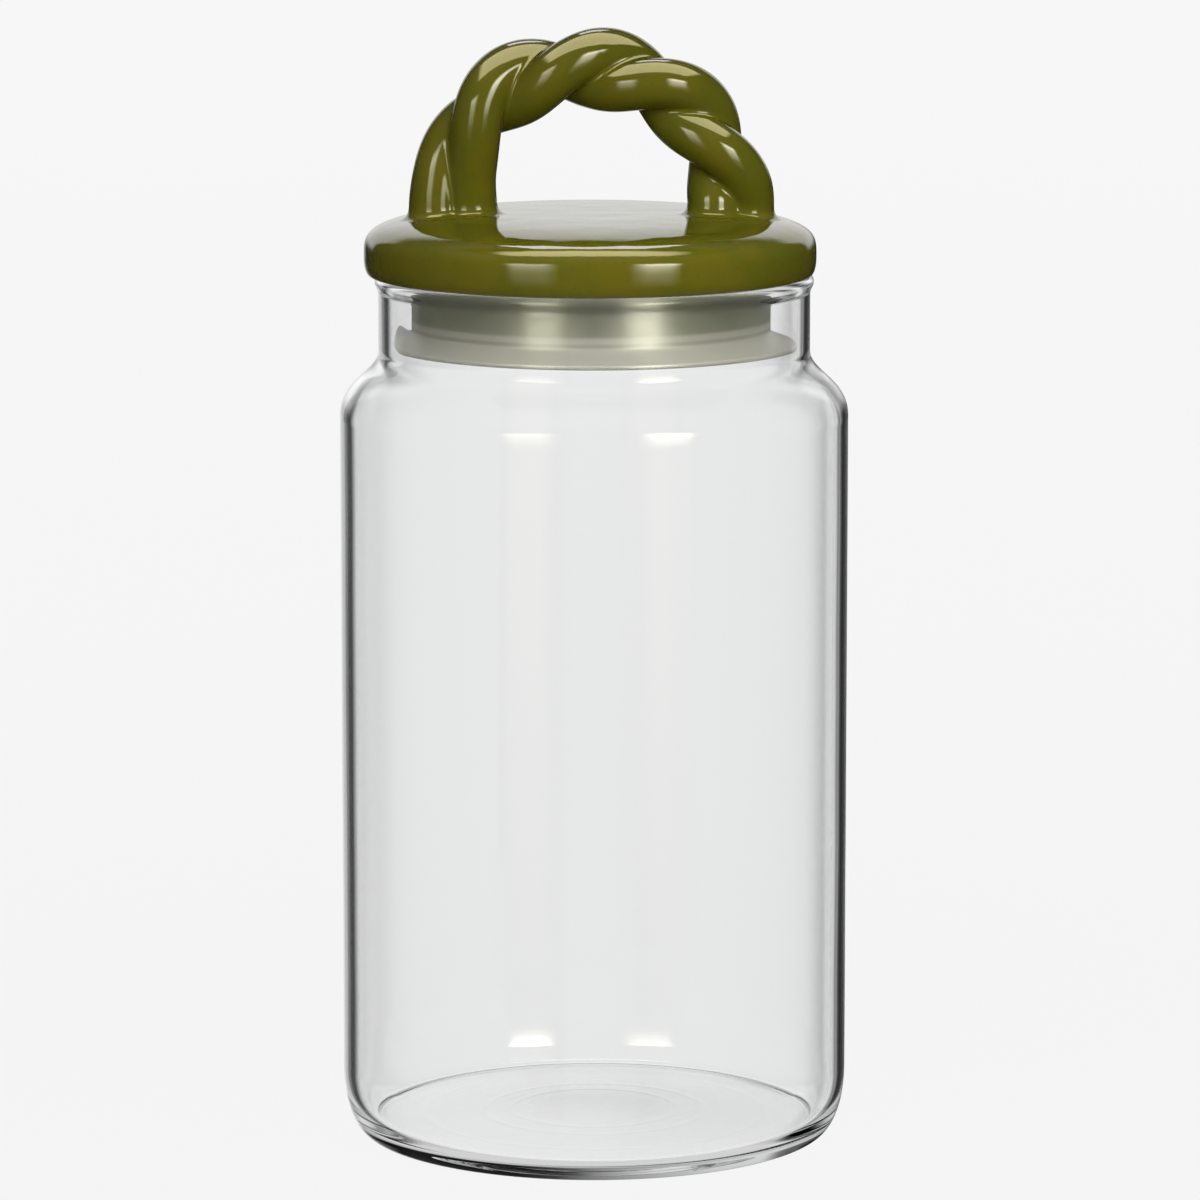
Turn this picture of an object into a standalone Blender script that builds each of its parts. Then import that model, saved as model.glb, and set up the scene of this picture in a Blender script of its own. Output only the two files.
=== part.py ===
"""Glass storage jar with a push-in ceramic lid, a twisted two-strand rope handle and a finned seal ring.

Lengths are in metres and +Z is up. The origin is the middle of the base, on the surface the jar stands on.
The handle's arch lies in the XZ plane, and its front faces -Y.
"""
import math

import bmesh
import bpy
import numpy as np

# Jar: a blown cylinder with a drawn-in neck
BODY_RADIUS = 0.0500
BODY_WALL = 0.0026
BASE_THICKNESS = 0.0028
BASE_CORNER_WIDTH = 0.0049
BASE_CORNER_HEIGHT = 0.0132
BASE_CORNER_FLOOR_PULL = 0.0020
BASE_CORNER_WALL_PULL = 0.0090
FOOT_RING_WIDTH = 0.0075
PUNT_RISE = 0.0012
SHOULDER_START = 0.1435
SHOULDER_HEIGHT = 0.0131
SHOULDER_LOWER_PULL = 0.0070
SHOULDER_UPPER_PULL = 0.0050
NECK_RADIUS = 0.0424
NECK_WALL = 0.0023
NECK_HEIGHT = 0.0148
RIM_BEAD_HEIGHT = 0.0036
RIM_BEAD_PROUD = 0.0007
RIM_ROUND_HEIGHT = 0.0014

# Lid: a low domed disc, hollow below, with a collar that carries the seal
LID_OVERHANG = 0.0020
LID_DOME_HEIGHT = 0.0085
LID_EDGE_HEIGHT = 0.0031
LID_EDGE_UNDERCUT = 0.0010
LID_TOP_THICKNESS = 0.0062
COLLAR_DEPTH = 0.0112
COLLAR_WALL = 0.0036
COLLAR_LIP_ROUND = 0.0009
COLLAR_GROOVE_DEPTH = 0.0010
COLLAR_GROOVE_HEIGHT = 0.0032

# Seal: a silicone sleeve round the collar with one wide fin at its foot
SLEEVE_WALL = 0.0019
SLEEVE_DROP = 0.0032
SLEEVE_TOP_GAP = 0.0006
FIN_LENGTH = 0.0045
FIN_ROOT_THICKNESS = 0.0018
FIN_TIP_THICKNESS = 0.0010
FIN_ROOT_FILLET = 0.0006
FIN_TIP_LIFT = 0.0004

# Handle: two clay strands laid round each other along an arch
HANDLE_SPAN = 0.0544
HANDLE_RISE = 0.0285
HANDLE_LEG_HEIGHT = 0.0017
STRAND_RADIUS = 0.0051
STRAND_FOOT_FLARE = 0.0002
STRAND_OFFSET = 0.0030
STRAND_FOOT_SPREAD = 0.0002
STRAND_FOOT_LENGTH = 0.0090
STRAND_LEFT_EASE_LENGTH = 0.0220
STRAND_RIGHT_EASE_LENGTH = 0.0050
STRAND_CREASE_ROUND = 0.0007

# Powers of the curves and turns of the lay, which have no unit
LID_DOME_POWER = 3.4
ARCH_LEFT_POWER = 2.4
ARCH_RIGHT_POWER = 2.0
STRAND_TURNS = 2.05

# Clearances between touching pieces
SEAT_GAP = 0.0003
FIN_CLEARANCE = 0.0004

# Facets
REVOLVE_STEPS = 52
CORNER_STEPS = 6
SHOULDER_STEPS = 9
EDGE_STEPS = 6
DOME_STEPS = 10
FLOOR_STEPS = 4
STRAND_RINGS = 54
STRAND_ARC_STEPS = 11
ROUTE_SAMPLES = 2000
MERGE_DISTANCE = 0.00001
SHARP_ANGLE_DEGREES = 40

FOOT_RADIUS = BODY_RADIUS - BASE_CORNER_WIDTH
NECK_START = SHOULDER_START + SHOULDER_HEIGHT
RIM_HEIGHT = NECK_START + NECK_HEIGHT
NECK_BORE = NECK_RADIUS - NECK_WALL
LID_UNDERSIDE = RIM_HEIGHT + SEAT_GAP
LID_EQUATOR = LID_UNDERSIDE + LID_EDGE_HEIGHT
LID_TOP = LID_EQUATOR + LID_DOME_HEIGHT
LID_CEILING = LID_TOP - LID_TOP_THICKNESS
LID_RADIUS = NECK_RADIUS + LID_OVERHANG
FIN_TIP_RADIUS = NECK_BORE - FIN_CLEARANCE
SLEEVE_RADIUS = FIN_TIP_RADIUS - FIN_LENGTH
SLEEVE_BORE = SLEEVE_RADIUS - SLEEVE_WALL
COLLAR_RADIUS = SLEEVE_BORE - SEAT_GAP
COLLAR_BORE = COLLAR_RADIUS - COLLAR_WALL
COLLAR_FOOT = LID_UNDERSIDE - COLLAR_DEPTH
GROOVE_MIDDLE = LID_UNDERSIDE - COLLAR_DEPTH / 2
SEAL_FOOT = COLLAR_FOOT - SLEEVE_DROP


def clear_scene():
    """Remove every object of the open scene."""
    for old in list(bpy.data.objects):
        bpy.data.objects.remove(old, do_unlink=True)


def principled(name, colour, roughness, metallic=0, transmission=0, ior=1.5):
    """A Principled BSDF material of one colour, whose name and look belong to one piece."""
    material = bpy.data.materials.new(name)
    material.use_nodes = True
    shader = material.node_tree.nodes["Principled BSDF"]
    shader.inputs["Base Color"].default_value = (*colour, 1)
    shader.inputs["Roughness"].default_value = roughness
    shader.inputs["Metallic"].default_value = metallic
    shader.inputs["Transmission Weight"].default_value = transmission
    shader.inputs["IOR"].default_value = ior
    material.diffuse_color = (*colour, 1)
    return material


def cubic_curve(start, start_pull, end_pull, end, steps):
    """Points (radius, height) of a cubic curve that leaves start along start_pull and ends along end_pull."""
    start, end = np.array(start), np.array(end)
    first, second = start + np.array(start_pull), end - np.array(end_pull)
    share = np.linspace(0, 1, steps + 1)[:, None]
    rest = 1 - share
    return (rest**3 * start + 3 * rest**2 * share * first
            + 3 * rest * share**2 * second + share**3 * end)


def ellipse_arc(centre, width, height, start_degrees, end_degrees, steps):
    """Points (radius, height) on an ellipse arc; 0 degrees points outwards and 90 degrees up."""
    angle = np.radians(np.linspace(start_degrees, end_degrees, steps + 1))
    return np.column_stack([centre[0] + width * np.cos(angle), centre[1] + height * np.sin(angle)])


def eased(share):
    """A share from 0 to 1 that starts and ends with no slope."""
    return share * share * (3 - 2 * share)


def joined(*runs):
    """One list of profile points from several runs, with coinciding neighbours merged."""
    points = np.vstack([np.atleast_2d(np.array(run, dtype=float)) for run in runs])
    step = np.linalg.norm(np.diff(points, axis=0), axis=1)
    return points[np.concatenate([[True], step > MERGE_DISTANCE])]


def floor_curve(thickness, steps):
    """Half section of the pushed-up floor, from the axis to the inside of the foot ring."""
    edge = FOOT_RADIUS - FOOT_RING_WIDTH
    share = np.linspace(0, 1, steps + 1)
    return np.column_stack([edge * share, thickness + PUNT_RISE * (1 - eased(share))])


def jar_profile():
    """Half section of the jar: floor, inner wall, rim, outer wall, foot ring and pushed-up base."""
    inner_foot = FOOT_RADIUS - BODY_WALL
    inner_corner = cubic_curve(
        (inner_foot, BASE_THICKNESS), (BASE_CORNER_FLOOR_PULL, 0), (0, BASE_CORNER_WALL_PULL),
        (BODY_RADIUS - BODY_WALL, BASE_CORNER_HEIGHT), CORNER_STEPS)
    # The shoulder's inner face drops by the wall, turned to the shoulder's own slope.
    slope = math.atan2(SHOULDER_HEIGHT, BODY_RADIUS - NECK_RADIUS)
    inner_drop = BODY_WALL / 2 * math.cos(slope)
    inner_shoulder = cubic_curve(
        (BODY_RADIUS - BODY_WALL, SHOULDER_START - inner_drop), (0, SHOULDER_LOWER_PULL),
        (0, SHOULDER_UPPER_PULL), (NECK_BORE, NECK_START - inner_drop), SHOULDER_STEPS)
    bead_radius = NECK_RADIUS + RIM_BEAD_PROUD
    rim_middle = (bead_radius + NECK_BORE) / 2
    rim = ellipse_arc((rim_middle, RIM_HEIGHT - RIM_ROUND_HEIGHT), bead_radius - rim_middle,
                      RIM_ROUND_HEIGHT, 180, 0, EDGE_STEPS)
    bead = cubic_curve(
        (bead_radius, RIM_HEIGHT - RIM_ROUND_HEIGHT), (0, -RIM_BEAD_PROUD),
        (0, -RIM_BEAD_PROUD), (NECK_RADIUS, RIM_HEIGHT - RIM_BEAD_HEIGHT), 2)
    outer_shoulder = cubic_curve(
        (NECK_RADIUS, NECK_START), (0, -SHOULDER_UPPER_PULL), (0, -SHOULDER_LOWER_PULL),
        (BODY_RADIUS, SHOULDER_START), SHOULDER_STEPS)
    outer_corner = cubic_curve(
        (BODY_RADIUS, BASE_CORNER_HEIGHT), (0, -BASE_CORNER_WALL_PULL),
        (-BASE_CORNER_FLOOR_PULL, 0), (FOOT_RADIUS, 0), CORNER_STEPS)
    return joined(floor_curve(BASE_THICKNESS, FLOOR_STEPS), inner_corner, inner_shoulder, rim, bead,
                  outer_shoulder, outer_corner, floor_curve(0, FLOOR_STEPS)[::-1])


def dome_height(radius):
    """Height of the lid's domed top at a distance from its middle, from a power curve over its equator."""
    share = np.clip(radius / LID_RADIUS, 0, 1)
    return LID_EQUATOR + LID_DOME_HEIGHT * (1 - share**LID_DOME_POWER)**(1 / LID_DOME_POWER)


def lid_profile():
    """Half section of the lid: domed top, edge, underside, collar with its groove, and hollow."""
    turn = np.radians(np.linspace(0, 90, DOME_STEPS + 1))
    dome = np.column_stack([LID_RADIUS * np.sin(turn)**(2 / LID_DOME_POWER),
                            LID_EQUATOR + LID_DOME_HEIGHT * np.cos(turn)**(2 / LID_DOME_POWER)])
    edge = ellipse_arc((LID_RADIUS - LID_EDGE_UNDERCUT, LID_EQUATOR),
                       LID_EDGE_UNDERCUT, LID_EDGE_HEIGHT, 0, -90, EDGE_STEPS // 2)
    groove = ellipse_arc((COLLAR_RADIUS, GROOVE_MIDDLE), COLLAR_GROOVE_DEPTH,
                         COLLAR_GROOVE_HEIGHT / 2, 90, 270, EDGE_STEPS - 2)
    outer_lip = ellipse_arc((COLLAR_RADIUS - COLLAR_LIP_ROUND, COLLAR_FOOT + COLLAR_LIP_ROUND),
                            COLLAR_LIP_ROUND, COLLAR_LIP_ROUND, 0, -90, 2)
    inner_lip = ellipse_arc((COLLAR_BORE + COLLAR_LIP_ROUND, COLLAR_FOOT + COLLAR_LIP_ROUND),
                            COLLAR_LIP_ROUND, COLLAR_LIP_ROUND, -90, -180, 2)
    return joined(dome, edge, (COLLAR_RADIUS, LID_UNDERSIDE), groove,
                  outer_lip, inner_lip, (COLLAR_BORE, LID_CEILING), (0, LID_CEILING))


def seal_profile():
    """Closed section of the seal: sleeve, fin reaching for the neck, open foot and the bead in the groove."""
    root_low = SEAL_FOOT
    root_high = root_low + FIN_ROOT_THICKNESS
    tip_middle = root_low + FIN_TIP_LIFT + FIN_TIP_THICKNESS / 2
    fin_tip = ellipse_arc((FIN_TIP_RADIUS - FIN_TIP_THICKNESS / 2, tip_middle),
                          FIN_TIP_THICKNESS / 2, FIN_TIP_THICKNESS / 2, 90, -90, 4)
    root_fillet = ellipse_arc((SLEEVE_RADIUS + FIN_ROOT_FILLET, root_high + FIN_ROOT_FILLET),
                              FIN_ROOT_FILLET, FIN_ROOT_FILLET, 180, 270, 2)
    bead = ellipse_arc((SLEEVE_BORE, GROOVE_MIDDLE), COLLAR_GROOVE_DEPTH,
                       COLLAR_GROOVE_HEIGHT / 2 - SEAT_GAP, 270, 90, EDGE_STEPS - 2)
    top = LID_UNDERSIDE - SLEEVE_TOP_GAP
    return joined((SLEEVE_RADIUS, top), root_fillet, fin_tip, (SLEEVE_RADIUS, root_low),
                  (SLEEVE_BORE, root_low), bead, (SLEEVE_BORE, top))


def link(name, mesh, material):
    """Put a finished mesh into the scene as one named piece with its own material."""
    mesh.materials.append(material)
    piece = bpy.data.objects.new(name, mesh)
    bpy.context.scene.collection.objects.link(piece)
    return piece


def revolved(name, profile, closed, material):
    """Turn a half section about Z; a closed section makes a ring, an open one ends on the axis."""
    count = len(profile)
    edges = [(i, (i + 1) % count) for i in range(count if closed else count - 1)]
    mesh = bpy.data.meshes.new(name)
    mesh.from_pydata([(radius, 0, height) for radius, height in profile], edges, [])
    piece = link(name, mesh, material)
    turn = piece.modifiers.new("turn", "SCREW")
    turn.axis = "Z"
    turn.angle = math.tau
    turn.steps = REVOLVE_STEPS
    turn.render_steps = REVOLVE_STEPS
    turn.use_merge_vertices = True
    turn.merge_threshold = MERGE_DISTANCE
    turn.use_smooth_shade = True
    return piece


def handle_route():
    """The arch that both strands follow: run lengths, points and outward directions from foot to foot.

    Each leg rises straight from the lid. A quarter of a power curve joins each leg's top to the crown,
    fuller on the left than on the right, because the arch leans a little.
    """
    half_span = HANDLE_SPAN / 2
    foot = dome_height(half_span) + SEAT_GAP
    spring = foot + HANDLE_LEG_HEIGHT
    crown = foot + HANDLE_RISE
    turn = np.linspace(0, math.pi / 2, ROUTE_SAMPLES)
    sides = []
    for side, power in ((-1, ARCH_LEFT_POWER), (1, ARCH_RIGHT_POWER)):
        x = np.concatenate([[half_span], half_span * np.cos(turn)**(2 / power)])
        z = np.concatenate([[foot], spring + (crown - spring) * np.sin(turn)**(2 / power)])
        sides.append(np.column_stack([side * x, z]))
    path = np.vstack([sides[0], sides[1][-2::-1]])
    run = np.concatenate([[0], np.cumsum(np.linalg.norm(np.diff(path, axis=0), axis=1))])
    even = np.linspace(0, run[-1], ROUTE_SAMPLES)
    path = np.column_stack([np.interp(even, run, path[:, i]) for i in range(2)])
    along = np.gradient(path, even, axis=0)
    along /= np.linalg.norm(along, axis=1)[:, None]
    return even, path, np.column_stack([-along[:, 1], along[:, 0]])


def lay_angle(run, length):
    """How far the strands have turned round each other: the rate climbs from the left foot, stays even
    along the arch, and falls again before the right foot.
    """
    start, end = STRAND_LEFT_EASE_LENGTH, STRAND_RIGHT_EASE_LENGTH
    climbing = np.minimum(run, start)**2 / (2 * start)
    even = np.clip(run - start, 0, length - start - end)
    falling = np.maximum(run - (length - end), 0)
    turned = climbing + even + falling - falling**2 / (2 * end)
    return math.tau * STRAND_TURNS * turned / (length - (start + end) / 2)


def strand_section():
    """Half of the rope's section, as a round strand pressed flat where it meets the other one.

    Columns are the distance outwards from the rope's middle and the distance across, in lengths of
    one strand radius, and the flat side is left at the middle for the gap to be added.
    """
    flat = STRAND_OFFSET / STRAND_RADIUS
    crease = STRAND_CREASE_ROUND / STRAND_RADIUS
    # The crease rounding is a small circle inside both the strand and its flat side.
    across = math.sqrt((1 - crease)**2 - (flat - crease)**2)
    open_angle = math.pi - math.atan2(across, flat - crease)
    outer = np.linspace(-open_angle, open_angle, STRAND_ARC_STEPS + 1)
    round_part = np.column_stack([flat + np.cos(outer), np.sin(outer)])
    corner = np.linspace(open_angle, math.pi, 3)[1:]
    upper = np.column_stack([crease + crease * np.cos(corner), across + crease * np.sin(corner)])
    lower = upper[::-1] * np.array([1, -1])
    return np.vstack([round_part, upper, lower])


def handle_strand(name, start_angle, material):
    """One strand of the handle, as a section carried along the arch while it turns round the middle."""
    run, route, outward = handle_route()
    length = run[-1]
    stations = np.linspace(0, length, STRAND_RINGS + 1)
    centre = np.column_stack([np.interp(stations, run, route[:, i]) for i in range(2)])
    out = np.column_stack([np.interp(stations, run, outward[:, i]) for i in range(2)])
    angle = lay_angle(stations, length) + start_angle
    foot_share = eased(np.clip(1 - np.minimum(stations, length - stations) / STRAND_FOOT_LENGTH, 0, 1))
    radius = STRAND_RADIUS + STRAND_FOOT_FLARE * foot_share
    shift = SEAT_GAP / 2 + STRAND_FOOT_SPREAD * foot_share
    section = strand_section()
    away = section[None, :, 0] * radius[:, None] + shift[:, None]
    across = section[None, :, 1] * radius[:, None]
    turned_out = away * np.cos(angle)[:, None] - across * np.sin(angle)[:, None]
    turned_back = away * np.sin(angle)[:, None] + across * np.cos(angle)[:, None]
    points = np.stack([centre[:, None, 0] + out[:, None, 0] * turned_out, turned_back,
                       centre[:, None, 1] + out[:, None, 1] * turned_out], axis=-1)
    # Both cut ends are shaped to the domed top that they stand on.
    for end in (0, -1):
        points[end, :, 2] = dome_height(np.hypot(points[end, :, 0], points[end, :, 1])) + SEAT_GAP
    return skinned(name, points, material)


def skinned(name, rings, material):
    """Join a row of equal rings into one tube, whose ends close on a middle point over the dome."""
    build = bmesh.new()
    rows = [[build.verts.new(point) for point in ring] for ring in rings]
    count = len(rows[0])
    for low, high in zip(rows, rows[1:]):
        for i in range(count):
            build.faces.new((low[i], low[(i + 1) % count], high[(i + 1) % count], high[i]))
    for row, ring in ((rows[0], rings[0]), (rows[-1], rings[-1])):
        x, y = ring[:, 0].mean(), ring[:, 1].mean()
        middle = build.verts.new((x, y, dome_height(math.hypot(x, y)) + SEAT_GAP))
        for i in range(count):
            build.faces.new((row[i], row[(i + 1) % count], middle))
    bmesh.ops.recalc_face_normals(build, faces=build.faces)
    mesh = bpy.data.meshes.new(name)
    build.to_mesh(mesh)
    build.free()
    mesh.shade_smooth()
    mesh.set_sharp_from_angle(angle=math.radians(SHARP_ANGLE_DEGREES))
    return link(name, mesh, material)


def main():
    """Build the jar, the lid with its handle, and the seal."""
    clear_scene()
    glass = principled("clear_glass", (0.93, 0.95, 0.94), roughness=0.02, transmission=1, ior=1.47)
    disc_glaze = principled("disc_glaze", (0.150, 0.158, 0.013), roughness=0.12)
    strand_glaze_a = principled("strand_a_glaze", (0.160, 0.165, 0.014), roughness=0.12)
    strand_glaze_b = principled("strand_b_glaze", (0.160, 0.165, 0.014), roughness=0.12)
    silicone = principled("frosted_silicone", (0.52, 0.53, 0.46), roughness=0.35, transmission=0.6, ior=1.41)
    revolved("glass_jar", jar_profile(), closed=False, material=glass)
    revolved("lid_disc", lid_profile(), closed=False, material=disc_glaze)
    revolved("seal_ring", seal_profile(), closed=True, material=silicone)
    handle_strand("handle_strand_a", 0, strand_glaze_a)
    handle_strand("handle_strand_b", math.pi, strand_glaze_b)


main()
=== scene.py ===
"""Looks of a glass storage jar with a glazed ceramic lid, a twisted rope handle and a silicone seal.

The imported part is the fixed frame. Every shape here is worked out as numpy arrays in that frame: metres, +Z up,
the jar's axis on Z and the front towards -Y.
"""
import logging
import math
from dataclasses import dataclass
from enum import Enum

import bpy
import numpy as np
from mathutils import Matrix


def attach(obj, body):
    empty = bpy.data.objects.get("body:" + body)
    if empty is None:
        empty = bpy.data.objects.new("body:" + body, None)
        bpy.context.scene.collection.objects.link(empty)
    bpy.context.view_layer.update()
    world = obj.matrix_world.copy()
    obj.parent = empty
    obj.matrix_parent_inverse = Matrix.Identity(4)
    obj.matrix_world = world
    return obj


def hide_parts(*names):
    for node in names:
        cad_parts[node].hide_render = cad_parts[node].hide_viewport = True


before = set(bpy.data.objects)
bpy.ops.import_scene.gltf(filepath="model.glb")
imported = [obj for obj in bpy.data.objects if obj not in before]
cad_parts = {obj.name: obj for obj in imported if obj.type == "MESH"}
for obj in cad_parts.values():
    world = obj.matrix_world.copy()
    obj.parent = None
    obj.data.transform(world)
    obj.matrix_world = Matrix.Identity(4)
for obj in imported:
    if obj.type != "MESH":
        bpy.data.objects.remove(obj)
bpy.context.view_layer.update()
MM = 0.001
SAME_POINT = 1e-7
MERGE_DIGITS = 8
TINY = 1e-9
TO_DEGREES = 180 / math.pi

logging.basicConfig(level=logging.INFO, format="%(message)s")
log = logging.getLogger("storage_jar")


class Body(Enum):
    """The rigid bodies of the frame."""

    JAR = "jar"
    SEAL = "seal"
    LID = "lid"


class Slot(Enum):
    """The record's material slots."""

    GLASS = "glass"
    GLAZE = "glaze"
    SILICONE = "silicone"


# Profiles and meshes.


def cubic_curve(start: tuple, start_pull: tuple, end_pull: tuple, end: tuple, steps: int) -> np.ndarray:
    """Points of a cubic curve that leaves start along start_pull and arrives at end along end_pull.

    Args:
        start, end: the end points, as (radius, height).
        start_pull, end_pull: how far and which way the curve is pulled at each end.
        steps: the number of stretches.

    Returns:
        An array of steps + 1 points.
    """
    start, end = np.array(start), np.array(end)
    first, second = start + np.array(start_pull), end - np.array(end_pull)
    share = np.linspace(0, 1, steps + 1)[:, None]
    rest = 1 - share
    return (rest**3 * start + 3 * rest**2 * share * first
            + 3 * rest * share**2 * second + share**3 * end)


def ellipse_arc(centre: tuple, width: float, height: float, start: float, end: float, steps: int) -> np.ndarray:
    """Points on an ellipse arc between two angles in degrees, where 0 points outwards and 90 up."""
    angle = np.radians(np.linspace(start, end, steps + 1))
    return np.column_stack([centre[0] + width * np.cos(angle), centre[1] + height * np.sin(angle)])


def joined(*runs: np.ndarray) -> np.ndarray:
    """One profile from several runs, without points that coincide with the one before."""
    points = np.vstack([np.atleast_2d(np.array(run, dtype=float)) for run in runs])
    step = np.linalg.norm(np.diff(points, axis=0), axis=1)
    return points[np.concatenate([[True], step > SAME_POINT])]


def eased(share: np.ndarray) -> np.ndarray:
    """A share from 0 to 1 that starts and ends with no slope."""
    return share * share * (3 - 2 * share)


def turned(profile: np.ndarray, steps: int, closed: bool = False) -> tuple[np.ndarray, np.ndarray]:
    """A surface of revolution: each profile point (radius, height) is carried round Z.

    Args:
        profile: points (radius, height). An open profile starts and ends on the axis.
        steps: how many columns go round.
        closed: True joins the last point to the first, which makes a ring.

    Returns:
        The vertices and the faces, four indices each. At a pole two of the four are the same.
    """
    angle = np.linspace(0, math.tau, steps, endpoint=False)
    rows = len(profile)
    grid = np.stack([profile[:, None, 0] * np.cos(angle), profile[:, None, 0] * np.sin(angle),
                     np.repeat(profile[:, 1:2], steps, axis=1)], axis=-1)
    low = np.arange(rows if closed else rows - 1)[:, None]
    column = np.arange(steps)[None, :]
    beside = (column + 1) % steps
    high = (low + 1) % rows
    faces = np.stack([low * steps + column, high * steps + column,
                      high * steps + beside, low * steps + beside], axis=-1).reshape(-1, 4)
    return grid.reshape(-1, 3), faces


def mesh_object(name: str, verts: np.ndarray, faces: np.ndarray,
                material: bpy.types.Material) -> bpy.types.Object:
    """Put arrays into a smooth shaded mesh object, with coinciding points merged.

    Args:
        name: the piece's name.
        verts: vertices, in metres.
        faces: vertex indices of each face.
        material: the piece's finish.

    Returns:
        The linked object.
    """
    mesh = bpy.data.meshes.new(name)
    keys, index = np.unique(np.round(verts, MERGE_DIGITS), axis=0, return_inverse=True)
    index = index.reshape(-1)
    rings = index[faces]
    square = (rings[:, 0] != rings[:, 3]) & (rings[:, 1] != rings[:, 2]) & (rings[:, 0] != rings[:, 1])
    polygons = rings[square].tolist()
    polygons += [list(dict.fromkeys(p)) for p in rings[~square].tolist() if len(set(p)) > 2]
    mesh.from_pydata(keys.tolist(), [], polygons)
    mesh.materials.append(material)
    mesh.shade_smooth()
    piece = bpy.data.objects.new(name, mesh)
    bpy.context.scene.collection.objects.link(piece)
    return piece


def settle(piece: bpy.types.Object, body: Body, slot: Slot, *nodes: str) -> None:
    """Make a finished piece ride on its body, stand for its nodes, and report it."""
    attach(piece, body.value)
    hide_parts(*nodes)
    log.info("%s: %d faces on body %s", piece.name, len(piece.data.polygons), body.value)


# Finishes.


class Graph:
    """A node tree that is written as nested calls."""

    def __init__(self, tree: bpy.types.NodeTree) -> None:
        """Empty the tree and keep it."""
        self.tree = tree
        tree.nodes.clear()

    def node(self, kind: str, **inputs: object) -> bpy.types.Node:
        """Add a node and fill its inputs.

        Args:
            kind: the node's type.
            inputs: values or sockets, by input name with spaces as underscores.

        Returns:
            The new node.
        """
        made = self.tree.nodes.new(kind)
        for name, value in inputs.items():
            self.put(made.inputs[name.replace("_", " ")], value)
        return made

    def put(self, socket: bpy.types.NodeSocket, value: object) -> None:
        """Link a socket, or set it to a plain value."""
        if isinstance(value, bpy.types.NodeSocket):
            self.tree.links.new(value, socket)
        elif isinstance(value, tuple) and len(value) == 3 and socket.type == "RGBA":
            socket.default_value = (*value, 1)
        else:
            socket.default_value = value

    def math(self, operation: str, *values: object) -> bpy.types.NodeSocket:
        """One arithmetic step on values or sockets."""
        made = self.tree.nodes.new("ShaderNodeMath")
        made.operation = operation
        for socket, value in zip(made.inputs, values):
            self.put(socket, value)
        return made.outputs[0]

    def ramp(self, value: object, low: float, high: float, to_low: float = 0.0, to_high: float = 1.0,
             smooth: bool = True) -> bpy.types.NodeSocket:
        """Carry a value from one range to another, with soft ends."""
        made = self.tree.nodes.new("ShaderNodeMapRange")
        made.interpolation_type = "SMOOTHSTEP" if smooth else "LINEAR"
        for socket, given in zip(made.inputs, (value, low, high, to_low, to_high)):
            self.put(socket, given)
        return made.outputs[0]

    def blend(self, share: object, first: object, second: object) -> bpy.types.NodeSocket:
        """Carry one number to another by a share."""
        made = self.tree.nodes.new("ShaderNodeMix")
        for socket, given in zip(made.inputs[:1] + made.inputs[2:4], (share, first, second)):
            self.put(socket, given)
        return made.outputs[0]

    def band(self, value: object, low: float, high: float, soft: float) -> bpy.types.NodeSocket:
        """1 between two values and 0 outside them, with soft edges on their outer sides."""
        rise, fall = self.ramp(value, low - soft, low), self.ramp(value, high, high + soft, 1.0, 0.0)
        return self.math("MULTIPLY", rise, fall)

    def table(self, value: object, pairs: tuple) -> bpy.types.NodeSocket:
        """A level read off a table of (place, level) pairs, with straight lines between them."""
        low, high = pairs[0][0], pairs[-1][0]
        made = self.tree.nodes.new("ShaderNodeValToRGB")
        self.put(made.inputs[0], self.ramp(value, low, high, smooth=False))
        stops = made.color_ramp.elements
        top = max(level for _, level in pairs)
        for count, (place, level) in enumerate(pairs):
            stop = stops[count] if count < 2 else stops.new(1.0)
            stop.position = (place - low) / (high - low)
            stop.color = (level / top, level / top, level / top, 1)
        return self.math("MULTIPLY", made.outputs[0], top)

    def mix(self, share: object, first: object, second: object) -> bpy.types.NodeSocket:
        """Blend two colours by a share."""
        made = self.tree.nodes.new("ShaderNodeMix")
        made.data_type = "RGBA"
        self.put(made.inputs[0], share)
        self.put(made.inputs[6], first)
        self.put(made.inputs[7], second)
        return made.outputs[2]

    def noise(self, scale: float, detail: float = 2.0, roughness: float = 0.5,
              vector: object = None) -> bpy.types.NodeSocket:
        """Noise on Object coordinates, at a scale in cells per metre."""
        made = self.node("ShaderNodeTexNoise", Scale=scale, Detail=detail, Roughness=roughness)
        self.put(made.inputs["Vector"], vector or self.place())
        return made.outputs[0]

    def place(self) -> bpy.types.NodeSocket:
        """Object coordinates, in metres."""
        return self.tree.nodes.new("ShaderNodeTexCoord").outputs["Object"]

    def shaders(self, share: object, first: bpy.types.Node, second: bpy.types.Node) -> bpy.types.Node:
        """Mix two shaders by a share."""
        made = self.tree.nodes.new("ShaderNodeMixShader")
        self.put(made.inputs[0], share)
        self.put(made.inputs[1], first.outputs[0])
        self.put(made.inputs[2], second.outputs[0])
        return made

    def path(self, output: str) -> bpy.types.NodeSocket:
        """One fact about the ray that looks at the surface."""
        return self.tree.nodes.new("ShaderNodeLightPath").outputs[output]

    def seen_straight(self) -> bpy.types.NodeSocket:
        """1 for sight that comes from the camera with no mirroring on its way, also through glass."""
        turns = self.math("ADD", self.path("Glossy Depth"), self.path("Diffuse Depth"))
        bent = self.math("MULTIPLY", self.path("Is Transmission Ray"), self.math("LESS_THAN", turns, 0.5))
        return self.math("MAXIMUM", self.path("Is Camera Ray"), bent)

    def seen_mirrored(self) -> bpy.types.NodeSocket:
        """1 for sight that a gloss, or total reflection within glass, has mirrored."""
        sharp = self.math("MAXIMUM", self.path("Is Glossy Ray"), self.path("Is Transmission Ray"))
        return self.math("MULTIPLY", sharp, self.math("SUBTRACT", 1.0, self.seen_straight()))

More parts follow.
